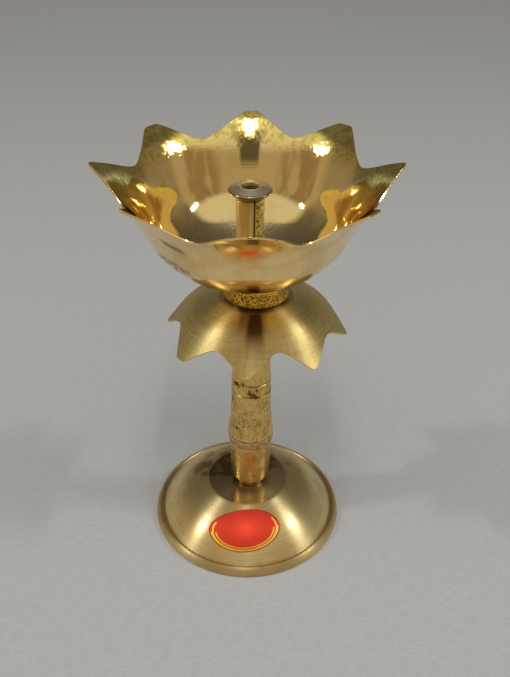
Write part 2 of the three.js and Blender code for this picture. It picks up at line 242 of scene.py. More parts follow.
def softbox(name, azimuth, elevation, distance, width, height, power):
    """A rectangular light that looks at the lamp. Azimuth is anticlockwise from +X."""
    data = bpy.data.lights.new(name, "AREA")
    data.shape = "RECTANGLE"
    data.size = width
    data.size_y = height
    data.energy = power
    light = bpy.data.objects.new(name, data)
    a, e = math.radians(azimuth), math.radians(elevation)
    away = Vector((math.cos(a) * math.cos(e), math.sin(a) * math.cos(e), math.sin(e)))
    light.location = lamp_middle + away * distance
    light.rotation_euler = away.to_track_quat("Z", "Y").to_euler()
    bpy.context.scene.collection.objects.link(light)


softbox("left_light", azimuth=-169, elevation=41, distance=0.9, width=0.07, height=0.022, power=1.05)
softbox("right_light", azimuth=-7, elevation=41, distance=0.9, width=0.14, height=0.022, power=1.15)
softbox("overhead_light", azimuth=-90, elevation=71, distance=1.0, width=0.014, height=0.46, power=1.35)


# The foot: brass sheet spun into a shallow dome, its edge rolled into a lip and its top sunk flat.
# The lathe's polishing cloth leaves faint rings, and old fingermarks dull it in places. Its colour also
# holds painted shade on its front and back, a painted dark reflection on the sunk top, and a painted
# warm sheen on its left.
base_radius = 35.4
groove = (32.6, 2.9)
crest = (14.7, 15.55)
dome_bulge = 1.7
dome_steps = 24
foot_sheet = 1.3
foot_hole = 3.6
flat_top = crest[1] - 0.02
flat_underside = crest[1] - foot_sheet
foot_gold = (0.86, 0.65, 0.28, 1)
foot_pale_gold = (1.0, 0.83, 0.46, 1)
foot_sheen_orange = (1.0, 0.74, 0.30, 1)
old_brass_and_shade = (0.42, 0.28, 0.10, 1)
foot_grime_and_shade = (0.20, 0.13, 0.05, 1)
front = -1.57                # radians, the side of the foil oval
sharp_corner = math.radians(28)
lathe_streaks = 0.25         # the anisotropic rotation at which a highlight runs along the outline


def smooth_through(points, steps):
    """A soft curve through the points, with a few steps between each two."""
    padded = [points[0], *points, points[-1]]
    curve = []
    for k in range(1, len(padded) - 2):
        before, start, end, after = (Vector(p) for p in padded[k - 1:k + 3])
        for step in range(steps):
            t = step / steps
            a = 2 * start
            b = end - before
            c = 2 * before - 5 * start + 4 * end - after
            d = 3 * start - before - 3 * end + after
            curve.append(tuple(0.5 * (a + b * t + c * t * t + d * t * t * t)))
    return [*curve, tuple(points[-1])]


def piece_from(name, vertices, faces, at, bevel=0.0, slots=None):
    """An object with smooth faces whose corners are broken by a small bevel, placed at its own axis."""
    mesh = bpy.data.meshes.new(name)
    mesh.from_pydata([tuple(Vector(v) * mm) for v in vertices], [], faces)
    mesh.polygons.foreach_set("use_smooth", [True] * len(mesh.polygons))
    if slots:
        mesh.polygons.foreach_set("material_index", slots)
    made = bpy.data.objects.new(name, mesh)
    made.location = at
    bpy.context.scene.collection.objects.link(made)
    if bevel:
        rounding = made.modifiers.new("broken_edges", "BEVEL")
        rounding.width = bevel * mm
        rounding.segments = 3
        rounding.limit_method = "ANGLE"
        rounding.angle_limit = sharp_corner
        rounding.harden_normals = True
    return made


def turned(name, outline, at, bevel=0.15, around=160):
    """A piece turned on a lathe. The outline, in millimetres as (radius, height), closes on itself."""
    rows = len(outline)
    vertices = []
    for i in range(around):
        angle = 2 * math.pi * i / around
        vertices += [(r * math.cos(angle), r * math.sin(angle), z) for r, z in outline]
    faces = []
    for i in range(around):
        here, following = i * rows, (i + 1) % around * rows
        for j in range(rows):
            k = (j + 1) % rows
            faces.append((here + j, following + j, following + k, here + k))
    return piece_from(name, vertices, faces, at, bevel)


def axis_of(node):
    """The point on the floor under a node's own upright axis."""
    low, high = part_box(node)
    return Vector(((low.x + high.x) / 2, (low.y + high.y) / 2, 0))


def polar(wire):
    """Radius, angle and height about a piece's own axis, in metres and radians, and the point itself."""
    place = wire.node("TexCoord", output="Object")
    x, y, z = (place.node("SeparateXYZ", None, {0: place}, output=axis) for axis in (0, 1, 2))
    return (x * x + y * y) ** 0.5, y.maths("ARCTAN2", y, x), z, place


def towards(angle, direction, near, far):
    """1 within near of a direction round the axis, 0 past far of it. All are in radians."""
    return 1 - abs(angle - direction).between(near, far)


def dome_point(share, inset=0.0):
    """A point of the dome's outline, from the crest at 0 to the groove at 1."""
    run, drop = groove[0] - crest[0], groove[1] - crest[1]
    length = math.hypot(run, drop)
    bulge = dome_bulge * math.sin(math.pi * share) - inset
    return (crest[0] + run * share - drop / length * bulge, crest[1] + drop * share + run / length * bulge)


def paint_foot(wire):
    radius, angle, height, place = polar(wire)
    rings = point_of(radius * 5200, angle * 1.5, height * 2600).speckle(1.0, 2)
    clouds = place.speckle(60, 4, 0.6)
    dull = clouds.between(0.50, 0.70)
    dust = place.speckle(900, 2).between(0.62, 0.72)
    lip = radius.between(31.8 * mm, 33.0 * mm)
    flat = 1 - radius.between(14.5 * mm, 14.9 * mm)
    by_crest = 1 - radius.between(18.5 * mm, 26.5 * mm)
    to_front = (1 - angle.maths("SINE", angle)) * 0.5
    # Painted shade: the back of the dome by the crest is darkened, with darker patches at the back left and
    # back right.
    back_shade = by_crest * (1 - to_front)
    back_shade_patches = towards(angle, 2.5, 0.4, 0.9) * by_crest + towards(angle, 0.8, 0.3, 0.7) * by_crest * 0.7
    shade_blobs = back_shade_patches * place.speckle(110, 3, 0.5).between(0.44, 0.54)
    # A painted warm sheen in patches on the left of the dome, away from the crest.
    left_sheen = towards(angle, -2.7, 0.2, 0.5) * place.speckle(70, 2).between(0.45, 0.60) * (1 - by_crest)
    # The sunk top is painted dark as a painted reflection of the dark room, and lighter olive towards the
    # front right as a painted reflection too.
    olive_reflection = flat * ((angle + 0.7).maths("COSINE", angle + 0.7) * 0.5 + 0.5)
    # Fingermarks dull the dome and the lip is darker. The front of the dome and its back by the crest are
    # darkened with painted shade.
    aged_and_shaded = dull * 0.25 + lip * 0.35 + towards(angle, front, 0.3, 0.9) * 0.35 + back_shade * 0.6
    # Dust darkens the dome a little. The rest of this mask is painted shade and painted reflection.
    dust_and_shade = dust * 0.25 + flat * 0.75 - olive_reflection * 0.6 + shade_blobs * 0.75
    colour = (rings * 0.5 + clouds * 0.5).between(0.35, 0.65).tint(foot_gold, foot_pale_gold)
    colour = (left_sheen * 0.8).tint(colour, foot_sheen_orange)
    colour = aged_and_shaded.tint(colour, old_brass_and_shade)
    roughness = 0.29 + dull * 0.08 + dust * 0.1 + lip * 0.14
    return {
        "Base Color": dust_and_shade.tint(colour, foot_grime_and_shade),
        "Roughness": roughness + by_crest * 0.12 - flat * 0.21 + olive_reflection * 0.15,
        "Normal": bumped(rings, 0.012 * mm),
    }


rolled_lip = [
    (35.0, 0), (35.3, 0.15), (base_radius, 0.5), (35.35, 1.0), (35.2, 1.5), (34.9, 2.15), (34.5, 2.8),
    (34.1, 3.2), (33.6, 3.38), (33.2, 3.3), (32.85, 2.95),
]
foot_outline = [(base_radius - 3, 0), *rolled_lip]
foot_outline += [dome_point(1 - k / dome_steps) for k in range(dome_steps + 1)]
foot_outline += [(crest[0] - 0.25, flat_top), (crest[0] - 0.6, flat_top), (foot_hole, flat_top)]
foot_outline += [(foot_hole, flat_underside), (crest[0] - 0.9, flat_underside)]
foot_outline += [dome_point(0.06 + 0.9 * k / dome_steps, foot_sheet) for k in range(dome_steps + 1)]
foot = turned("foot", foot_outline, axis_of("base_dish"), bevel=0.12)
spun = finish_of(
    "spun_brass", paint_foot, Metallic=1.0, Anisotropic=0.85, Anisotropic_Rotation=lathe_streaks
)
foot.data.materials.append(spun)
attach(foot, "root")
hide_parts("base_dish")


# The lower stem: a turned brass ferrule, polished bright, that stands on the foot on a narrow neck.
# Its barrel widens a little to a rounded bead, with a crease between the two. Painted shade darkens
# the crease, the neck and the low end of the barrel.
stem_hole = 3.5
ferrule_foot = 15.85
ferrule_top = 39.35
ferrule_neck = 5.4
bead_crease = 35.9
ferrule_gold = (0.74, 0.53, 0.21, 1)
ferrule_smudge = (0.56, 0.35, 0.10, 1)
ferrule_mottle_and_shade_brown = (0.30, 0.17, 0.05, 1)


def paint_ferrule(wire):
    radius, angle, height, place = polar(wire)
    rings = point_of(radius * 300, angle * 2, height * 3000).speckle(1.0, 2)
    smudge = place.speckle(220, 4, 0.6).between(0.42, 0.68)
    on_bead = height.between((bead_crease - 0.2) * mm, (bead_crease + 0.2) * mm)
    mottle = place.speckle(1100, 3, 0.6).between(0.42, 0.62)
    crease = (1 - abs(height - bead_crease * mm).between(0.1 * mm, 0.5 * mm)) * smudge
    neck = 1 - height.between(18.4 * mm, 19.2 * mm)
    low = 1 - height.between(20 * mm, 28 * mm)
    # Painted shade darkens the crease, the neck and the low end of the barrel, and the bead is darkened in a
    # mottle.
    mottle_and_shade = on_bead * mottle * 0.7 + crease * 0.8 + neck * 0.8 + low * 0.35
    return {
        "Base Color": mottle_and_shade.tint(smudge.tint(ferrule_gold, ferrule_smudge), ferrule_mottle_and_shade_brown),
        "Roughness": 0.20 + smudge * 0.12 + on_bead * 0.08 + low * 0.08,
        "Normal": bumped(rings * 0.6 + place.speckle(500, 2) * 0.4 + on_bead * mottle * 2.0, 0.02 * mm),
    }


barrel = smooth_through([
    (6.5, 18.3), (6.95, 18.9), (7.17, 19.8), (7.3, 22), (7.45, 28.6), (7.75, 33.2), (7.88, 35.6),
], 5)
bead = smooth_through([
    (7.72, 36.0), (8.05, 36.4), (8.2, 37.2), (8.2, 38.5), (8.05, 39.1), (7.85, ferrule_top),
], 4)
ferrule_outline = [(stem_hole, ferrule_foot), (ferrule_neck, ferrule_foot), (ferrule_neck, 18.2)]
ferrule_outline += [*barrel, *bead, (stem_hole, ferrule_top)]
ferrule = turned("ferrule", ferrule_outline, axis_of("stem_ferrule"), bevel=0.2)
polished = finish_of(
    "polished_brass", paint_ferrule, Metallic=1.0, Anisotropic=0.6, Anisotropic_Rotation=lathe_streaks
)
ferrule.data.materials.append(polished)
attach(ferrule, "root")
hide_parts("stem_ferrule")


# The upper stem: a sand casting like a length of bamboo, only rubbed over with a buff, so that its
# skin keeps pits and dark scale, most of all by the two rings cut round it.
column_top = 95.65
column_foot = ferrule_top + 0.3
column_neck = 7.2
lower_cut = 59.3
upper_cut = 64
cast_shadow_gold = (0.70, 0.43, 0.12, 1)
cast_gold = (0.86, 0.61, 0.20, 1)
cast_pink = (0.95, 0.70, 0.44, 1)
cast_scale = (0.13, 0.065, 0.02, 1)


def paint_casting(wire):
    radius, angle, height, place = polar(wire)
    swirls = point_of(angle * 8, height * 300, radius * 200).speckle(1.0, 4, 0.6, 1.5)
    grain = place.speckle(1500, 3, 0.55)
    patches = place.speckle(210, 4, 0.6)
    from_upper = abs(height - upper_cut * mm)
    from_lower = abs(height - lower_cut * mm)
    cuts = (1 - from_upper.between(0.1 * mm, 0.5 * mm)) + (1 - from_lower.between(0.1 * mm, 0.4 * mm))
    by_cuts = (1 - from_upper.between(0.6 * mm, 4 * mm)) + (1 - from_lower.between(0.6 * mm, 3 * mm))
    scale = (patches + by_cuts * 0.10).between(0.67, 0.71)
    veins = (1 - abs(swirls - 0.5).between(0.008, 0.045)) * patches.between(0.38, 0.60)
    veins = veins * (1 - height.between(62 * mm, 67 * mm) * 0.6)
    foot_band = 1 - height.between(40.1 * mm, 41.3 * mm)
    colour = (swirls * 0.6 + grain * 0.4).between(0.34, 0.60).tint(cast_shadow_gold, cast_gold)
    colour = (foot_band * 0.8).tint(colour, cast_pink)
    dark = veins * 0.9 + scale * 0.85 + cuts * patches * 1.4
    relief = grain * 0.35 + swirls * 0.45 - veins * 0.3 - scale * 0.3 - cuts * 0.8
    return {
        "Base Color": dark.tint(colour, cast_scale),
        "Roughness": 0.26 + scale * 0.25 + veins * 0.15 + (1 - grain) * 0.08,
        "Normal": bumped(relief, 0.12 * mm),
    }


knuckle = [(stem_hole, column_foot), (7.9, column_foot), (8.15, 39.95), (8.2, 40.4)]
lower_length = smooth_through([
    (8.18, 41.0), (7.95, 42.4), (7.5, 45.5), (7.15, 50.7), (6.95, 56.7), (6.95, 59),
], 8)
ring_cuts = [
    (6.7, lower_cut), (6.95, 59.6), (6.93, 61.6), (6.9, 63.5), (6.6, upper_cut), (7.0, 64.4), (6.75, 65),
]
upper_length = smooth_through([
    (6.7, 66.2), (6.6, 74.7), (6.9, 84.7), (7.6, 89.2), (column_neck, 90.7),
], 8)
column_outline = [*knuckle, *lower_length, *ring_cuts, *upper_length]
column_outline += [(column_neck, column_top), (stem_hole, column_top)]
column = turned("bamboo_stem", column_outline, axis_of("stem_column"), bevel=0.08, around=200)
inside_skin = 6 * mm
for vertex in column.data.vertices:
    spread = Vector((vertex.co.x, vertex.co.y, 0))
    if spread.length > inside_skin:
        uneven = noise.noise(vertex.co * 160) * 0.09 + noise.noise(vertex.co * 520) * 0.03
        vertex.co += spread.normalized() * uneven * mm
column.data.materials.append(finish_of("cast_brass", paint_casting, Metallic=1.0))
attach(column, "root")
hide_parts("stem_column")


# The skirt: a lotus turned upside down, eight petals cut from spun sheet. It was brushed round and
# then rubbed outward, and its raw cut edges are left thin and slightly ragged. A painted dark
# reflection runs down its front, with painted shade across the front and in rings by the collar.
petals = 8
petal_width = 360 / petals
snip_power = 1.55
tip_rounding = 0.04
skirt_turn = -6.2
skirt_height = 97.15
skirt_right = 2.2
skirt_sheet = 0.85
skirt_inset = 0.1            # how far inside its solid's edge the sheet ends
skirt_raggedness = 0.12
skirt_dents = 0.25
skirt_tilt = Matrix.Rotation(math.radians(-0.3), 3, "Y") @ Matrix.Rotation(math.radians(-0.4), 3, "X")
skirt_gold = (0.76, 0.55, 0.19, 1)
skirt_bright_gold = (1.0, 0.82, 0.34, 1)
skirt_rubbed_gold = (1.0, 0.86, 0.42, 1)
skirt_shade_brown = (0.26, 0.14, 0.05, 1)


def petal_edge(angle, turn, table):
    """How far out a petalled edge lies at an angle. A row of the table is one petal: how far out its
    valley and its tip are, its lean in degrees, and the share of its rise that is blunt."""
    step = (math.degrees(angle) - turn) / petal_width + 0.5
    index = math.floor(step) % petals
    valley, tip, lean, blunt = table[index]
    place = step - math.floor(step)
    tip_place = 0.5 + lean / petal_width
    rise = place / tip_place if place < tip_place else (1 - place) / (1 - tip_place)
    if place >= tip_place:
        valley = table[(index + 1) % petals][0]
    share = min(rise / (1 - blunt), 1) ** snip_power
    short = math.hypot(1 - share, tip_rounding) - tip_rounding
    short = short / (math.hypot(1, tip_rounding) - tip_rounding)
    return tip - (tip - valley) * short


def petal_angles(turn, table, columns):
    """The angles of a rim's columns, so that each valley and each tip has one."""
    angles = []
    for k, (_, _, lean, _) in enumerate(table):
        valley = turn + (k - 0.5) * petal_width
        tip = turn + k * petal_width + lean
        angles += [valley + (tip - valley) * i / columns for i in range(columns)]
        angles += [tip + (valley + petal_width - tip) * i / columns for i in range(columns)]
    return [math.radians(angle) for angle in angles]


def sheet_piece(name, surface, angles, rows, thickness, at, bevel):
    """Sheet metal from a surface(angle, t), t from its hole to its rim. The second slot is the far face."""
    columns = len(angles)
    small = 1e-3
    show, back = [], []
    for angle in angles:
        for j in range(rows + 1):
            t = j / rows
            around = surface(angle + small, t) - surface(angle - small, t)
            outward = surface(angle, min(t + small, 1)) - surface(angle, max(t - small, 0))
            point = surface(angle, t)
            show.append(point)
            back.append(point + around.cross(outward).normalized() * thickness)
    across, start = rows + 1, len(show)
    faces, slots = [], []
    for i in range(columns):
        here, following = i * across, (i + 1) % columns * across
        for j in range(rows):
            near, far = here + j, following + j
            faces.append((near, far, far + 1, near + 1))
            faces.append((start + near, start + near + 1, start + far + 1, start + far))
            slots += [0, 1]
        faces.append((here + rows, following + rows, start + following + rows, start + here + rows))
        faces.append((following, here, start + here, start + following))
        slots += [0, 0]
    if thickness > 0:
        faces = [face[::-1] for face in faces]
    return piece_from(name, show + back, faces, at, bevel, slots)


class Section:
    """A sheet's section, measured along its length."""

    def __init__(self, points):
        self.points = smooth_through(points, 12)
        self.lengths = [0.0]
        for a, b in zip(self.points, self.points[1:]):
            self.lengths.append(self.lengths[-1] + math.dist(a, b))

    def at(self, length):
        """The point at a length from the hole."""
        last = len(self.lengths) - 1
        k = next((k for k in range(1, last) if self.lengths[k] >= length), last)
        part = (length - self.lengths[k - 1]) / (self.lengths[k] - self.lengths[k - 1])
        return Vector(self.points[k - 1]).lerp(Vector(self.points[k]), part)

    def reach(self, radius):
        """The length at which the section comes to a radius."""
        k = next(k for k in range(1, len(self.points)) if self.points[k][0] >= radius)
        (a, _), (b, _) = self.points[k - 1], self.points[k]
        return self.lengths[k - 1] + (self.lengths[k] - self.lengths[k - 1]) * (radius - a) / (b - a)


def paint_skirt(wire):
    radius, angle, height, _ = polar(wire)
    rings = point_of(radius * 2600, angle * 3, height * 1300).speckle(1.0, 2, 0.5)
    rubbed = point_of(angle * 42, radius * 60, 0).speckle(1.0, 3, 0.6).between(0.35, 0.68)
    fine = point_of(angle * 160, radius * 220, 0).speckle(1.0, 2, 0.6)
    outward = radius.between(15 * mm, 27 * mm)
    strip_at = front - 0.02
    # A painted dark reflection in a strip down the front, near the collar.
    dark_reflection_strip = towards(angle, strip_at, 0.08, 0.18) * radius.between(11.5 * mm, 13 * mm)
    dark_reflection_strip = dark_reflection_strip * (1 - radius.between(18 * mm, 28 * mm))
    # Painted shade in rings round the foot of the collar.
    rings_in_shade = (1 - radius.between(11.2 * mm, 12.8 * mm)) * rings.between(0.35, 0.55)
    colour = (rings * 0.6 + fine * 0.4).between(0.3, 0.66).tint(skirt_gold, skirt_bright_gold)
    colour = (rubbed * 0.4).tint(colour, skirt_rubbed_gold)
    # All of this darkening is painted shade and painted reflection, the broad band across the front
    # included.
    dark = dark_reflection_strip * 0.85 + rings_in_shade * 0.6 + towards(angle, strip_at, 0.2, 0.7) * 0.25
    return {
        "Base Color": dark.tint(colour, skirt_shade_brown),
        "Roughness": 0.25 + outward * 0.17 + rings * 0.08 + (1 - rubbed) * 0.05,
        "Normal": bumped(rings * 0.8 + fine * 0.2, 0.06 * mm),
    }


skirt_section = Section([
    (4.6, 0.2), (10, 0), (15, -0.9), (20, -2.5), (24, -5.4), (28, -10.2), (31, -13.9),
])
skirt_edge = [
    (skirt_section.reach(valley), skirt_section.reach(tip), lean, blunt)
    for valley, tip, lean, blunt in (
        (25.9, 30.4, 0, 0.03), (25.2, 30.3, 0, 0.05), (25.2, 30.3, 0, 0.05), (25.2, 30.3, 0, 0.05),
        (25.2, 30.1, -1.8, 0.05), (25.5, 30.5, -1.3, 0.12), (25.7, 30.1, 0.8, 0.05), (25, 30.1, -1.1, 0.07),
    )
]


def skirt_surface(angle, t):
    around = Vector((math.cos(angle), math.sin(angle), 0))
    ragged = skirt_raggedness * noise.noise(around * 9)
    edge = petal_edge(angle, skirt_turn, skirt_edge) - skirt_inset + ragged
    radius, height = skirt_section.at(edge * t)
    height += skirt_dents * noise.noise(around * radius * 0.09 + Vector((0, 0, 40))) * (radius / 30) ** 2
    return skirt_tilt @ (around * radius + Vector((0, 0, height)))


skirt_axis = Vector((foot_middle.x + skirt_right * mm, foot_middle.y, skirt_height * mm))
skirt = sheet_piece(
    "inverted_lotus", skirt_surface, petal_angles(skirt_turn, skirt_edge, columns=14), rows=30,
    thickness=skirt_sheet, at=skirt_axis, bevel=0.12,
)
brushed = finish_of(
    "brushed_brass", paint_skirt, Metallic=1.0, Anisotropic=0.95, Anisotropic_Rotation=lathe_streaks
)
skirt.data.materials.append(brushed)
skirt.data.materials.append(brushed)
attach(skirt, "root")
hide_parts("lotus_skirt")


# The collar: a short turned ring with a bead at its foot. Its face keeps the sand's fine grain, gold
# on the high spots and brown between them.
collar_hole = 4.6
collar_foot = 97.9
collar_top = 103.25
speckled_gold = (1.0, 0.62, 0.10, 1)
speckled_brown = (0.24, 0.10, 0.006, 1)


def paint_speckled(wire):
    radius, angle, height, _ = polar(wire)
    maze = point_of(angle * 20, height * 1900, radius * 1500).speckle(1.0, 1, 0.4, 1.6)
    high = maze.between(0.46, 0.52)
    top = height.between(102.2 * mm, 102.7 * mm)
    pitted = (1 - high) * (1 - top)
    shaded = 1 - height.between(98.0 * mm, 99.0 * mm)
    return {
        "Base Color": (pitted + shaded * 0.6).tint(speckled_gold, speckled_brown),
        "Roughness": 0.22 + pitted * 0.25 + shaded * 0.2,
        "Normal": bumped(maze - pitted * 0.6, 0.14 * mm),
    }


collar_outline = [(collar_hole, collar_foot), (10.7, collar_foot), (10.7, collar_foot + 0.4)]
collar_outline += [(10.2, collar_foot + 1.1), (9.9, collar_foot + 2.2), (9.8, collar_top - 0.4)]
collar_outline += [(9.4, collar_top), (collar_hole, collar_top)]
collar = turned("collar", collar_outline, axis_of("neck_collar"), bevel=0.2)
collar.data.materials.append(finish_of("speckled_brass", paint_speckled, Metallic=1.0))
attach(collar, "root")
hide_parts("neck_collar")


# The bowl: thin brass spun over a former, its rim cut into eight blunt petals that flare outward. It
# is a mirror inside, with a mottled flare and an unbuffed floor, and a paler satin outside with a
# stain or two and painted shade low on its front.
bowl_turn = 0.8
bowl_left = 0.4
bowl_sheet = 0.6
bowl_inset = 0.2
bowl_raggedness = 0.08
bowl_pivot = 98.65
bowl_tilt = Matrix.Rotation(math.radians(1.5), 3, "X")
mirror_gold = (0.86, 0.66, 0.29, 1)
mirror_film = (0.62, 0.44, 0.14, 1)
flare_gold = (1.0, 0.82, 0.27, 1)
flare_mottle = (0.68, 0.53, 0.15, 1)
unbuffed_grey = (0.40, 0.33, 0.20, 1)
outside_gold = (1.0, 0.75, 0.35, 1)
outside_haze = (0.88, 0.59, 0.22, 1)
stain_and_shade_brown = (0.22, 0.12, 0.04, 1)


def paint_bowl_inside(wire):
    radius, angle, height, place = polar(wire)
    rings = point_of(radius * 1800, angle * 4, height * 1800).speckle(1.0, 2, 0.5)
    film = place.speckle(90, 4, 0.6).between(0.45, 0.75)
    mottle = place.speckle(420, 4, 0.65).between(0.38, 0.66)
    flare = (radius + mottle * (1.5 * mm)).between(35.8 * mm, 38.5 * mm)
    grain = place.speckle(1500, 2, 0.6).between(0.42, 0.58)
    unbuffed = 1 - (radius - mottle * (1 * mm)).between(20.5 * mm, 23.0 * mm)
    unbuffed = unbuffed * (0.55 + grain * 0.45)
    mirror = (film * 0.35).tint(mirror_gold, mirror_film)
    satin = mottle.tint(flare_gold, flare_mottle)
    return {
        "Base Color": unbuffed.tint(flare.tint(mirror, satin), unbuffed_grey),
        "Roughness": 0.045 + film * 0.03 + flare * (0.02 + mottle * 0.04) + unbuffed * 0.24,
        "Normal": bumped(rings + flare * mottle * 1.8 + unbuffed * 3.0, 0.01 * mm),
    }


def paint_bowl_outside(wire):
    radius, angle, height, place = polar(wire)
    rings = point_of(radius * 2200, angle * 3, height * 2200).speckle(1.0, 2, 0.5)
    haze = place.speckle(120, 5, 0.65)
    stroke_turn = -2.17
    from_stroke = height - 30.5 * mm + (angle - stroke_turn) * 0.010
    stroke = (1 - abs(from_stroke).between(0.6 * mm, 1.6 * mm)) * towards(angle, stroke_turn, 0.06, 0.13)
    stain_at = point_of((angle + 2.39) * 3.2, (height - 20.3 * mm) * 260, 0)
    stain_size = stain_at.node("VectorMath", {"operation": "LENGTH"}, {0: stain_at}, output=1)
    stain = (1 - (stain_size + haze * 0.9).between(1.0, 1.5)) * place.speckle(700, 2).between(0.3, 0.6)
    # Painted shade along the lower front of the bowl's outside, over the skirt.
    limb_shade = (1 - height.between(15.0 * mm, 17.2 * mm)) * towards(angle, front, 0.30, 0.70)
    colour = haze.between(0.35, 0.7).tint(outside_gold, outside_haze)
    return {
        "Base Color": (stain * 0.8 + stroke * 0.75 + limb_shade * 0.8).tint(colour, stain_and_shade_brown),
        "Roughness": 0.09 + haze * 0.08 + (stain + stroke) * 0.2,
        "Normal": bumped(rings, 0.006 * mm),
    }


bowl_section = Section([
    (3.8, 5), (10, 5.6), (16, 8.9), (22, 12.3), (26, 15.8), (30, 20.7), (33, 26.7), (36, 32.2), (38.7, 36.3),
    (41.8, 39.9), (47, 43.7),
])
bowl_edge = [
    (bowl_section.reach(valley), bowl_section.reach(tip), lean, blunt)
    for valley, tip, lean, blunt in (
        (38.6, 46.2, 0.6, 0.02), (38.5, 45.9, 0.7, 0.12), (39.4, 45.75, -1.7, 0.1), (39.1, 45.2, 0, 0.13),
        (38.6, 46.7, 2, 0.02), (38.4, 46.5, -1, 0.03), (38.7, 46, 0, 0.1), (38.3, 46, 0, 0.13),
    )
]


def bowl_surface(angle, t):
    around = Vector((math.cos(angle), math.sin(angle), 0))
    ragged = bowl_raggedness * noise.noise(around * 12 + Vector((0, 0, 5)))
    edge = petal_edge(angle, bowl_turn, bowl_edge) - bowl_inset + ragged
    radius, height = bowl_section.at(edge * t)
    return bowl_tilt @ (around * radius + Vector((0, 0, height)))


bowl_axis = Vector((foot_middle.x - bowl_left * mm, foot_middle.y, bowl_pivot * mm))
bowl = sheet_piece(
    "lotus_bowl_sheet", bowl_surface, petal_angles(bowl_turn, bowl_edge, columns=16), rows=60,
    thickness=-bowl_sheet, at=bowl_axis, bevel=0.14,
)
satin_outside = finish_of(
    "satin_bowl_brass", paint_bowl_outside, Metallic=1.0, Anisotropic=0.4, Anisotropic_Rotation=lathe_streaks
)
bowl.data.materials.append(satin_outside)
bowl.data.materials.append(finish_of("mirror_bowl_brass", paint_bowl_inside, Metallic=1.0))
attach(bowl, "root")
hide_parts("lotus_bowl")


# The wick holder: a tube rolled from sheet, so that a seam runs down its front. The sheet is smooth to
# the left of the seam and pitted to the right of it. Two painted highlights run down its front and
# front left.
tube_hole = 3.6
tube_bottom = 106.45
tube_top = 130.85
tube_seam = -math.pi / 2 + 0.31
tube_gold = (0.82, 0.52, 0.13, 1)
tube_satin_and_highlight_gold = (1.0, 0.84, 0.36, 1)
tube_right_gold = (1.0, 0.80, 0.28, 1)
tube_pit = (0.20, 0.10, 0.01, 1)
seam_brown = (0.10, 0.05, 0.01, 1)


def paint_tube(wire):
    _, angle, height, place = polar(wire)
    seam = towards(angle, tube_seam, 0.03, 0.07)
    right = (angle - tube_seam).between(0.06, 0.12)
    maze = place.speckle(1500, 1, 0.4, 1.2)
    pits = right * (1 - maze.between(0.40, 0.47))
    satin = point_of(angle * 9, height * 30, 0).speckle(1.0, 3, 0.6).between(0.35, 0.65)
    # Painted highlights: two bright bands down the front and front left.
    highlight_bands = towards(angle, -2.51, 0.05, 0.20) + towards(angle, -1.50, 0.04, 0.18)
    colour = (satin * 0.4 + highlight_bands * 0.6).tint(tube_gold, tube_satin_and_highlight_gold)
    colour = pits.tint(right.tint(colour, tube_right_gold), tube_pit)
    return {
        "Base Color": seam.tint(colour, seam_brown),
        "Roughness": 0.36 - right * 0.04 + seam * 0.2,
        "Normal": bumped(maze * right - seam, 0.18 * mm),
    }


tube_outline = [(tube_hole, tube_bottom), (4.8, tube_bottom), (4.8, tube_bottom + 1)]
tube_outline += [(4.3, tube_bottom + 1.6), (4.35, 119), (4.4, tube_top), (tube_hole, tube_top)]
tube = turned("rolled_tube", tube_outline, axis_of("wick_tube"), bevel=0.15)
tube.data.materials.append(finish_of("rolled_brass", paint_tube, Metallic=0.5))
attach(tube, "root")
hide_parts("wick_tube")


# The wick disc: turned brass pushed into the tube's top, coned both ways and drilled for the wick. Its
# worn top is greyer than its rim, and the underside of the rim is darkened with painted shade.
wick_hole = 2.88
disc_spigot = 3.3
disc_radius = 6.75
disc_seat = tube_top + 0.3
disc_foot = disc_seat - 4.5
disc_top = 134.65
disc_gold = (0.90, 0.70, 0.34, 1)
disc_tarnish = (0.56, 0.40, 0.16, 1)
disc_grey = (0.84, 0.72, 0.50, 1)
disc_dull_grey = (0.58, 0.48, 0.32, 1)
hole_gold = (1.0, 0.84, 0.42, 1)
rim_underside_shade_brown = (0.20, 0.11, 0.03, 1)


def paint_disc(wire):
    radius, angle, height, place = polar(wire)
    rings = point_of(radius * 6500, angle * 2, height * 4000).speckle(1.0, 2)
    tarnish = place.speckle(500, 3, 0.6).between(0.35, 0.65)
    hole = 1 - radius.between(3.3 * mm, 3.5 * mm)
    top = (1 - hole) * height.between(133.6 * mm, 133.8 * mm)
    # Painted shade under the rim.
    shade_under_rim = 1 - height.between(133.1 * mm, 133.6 * mm)
    worn = tarnish * 0.5 + rings * 0.3
    colour = top.tint(worn.tint(disc_gold, disc_tarnish), worn.tint(disc_grey, disc_dull_grey))
    colour = hole.tint(colour, hole_gold)
    return {
        "Base Color": (shade_under_rim * 0.6).tint(colour, rim_underside_shade_brown),
        "Roughness": 0.18 + top * 0.22 + hole * 0.3 + tarnish * 0.08,
        "Normal": bumped(rings, 0.02 * mm),
    }


disc_outline = [
    (wick_hole, disc_foot), (disc_spigot, disc_foot), (disc_spigot, disc_seat), (4.5, disc_seat),
    (6.4, disc_seat + 1.6), (disc_radius, disc_seat + 1.9), (disc_radius, disc_seat + 2.3),
    (6.25, disc_seat + 2.6), (3.6, disc_top - 0.25), (3.2, disc_top), (wick_hole, disc_top - 0.15),
]
disc = turned("wick_disc", disc_outline, axis_of("drip_disc"), bevel=0.12)
disc.data.materials.append(finish_of("turned_brass", paint_disc, Metallic=1.0))
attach(disc, "root")
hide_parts("drip_disc")


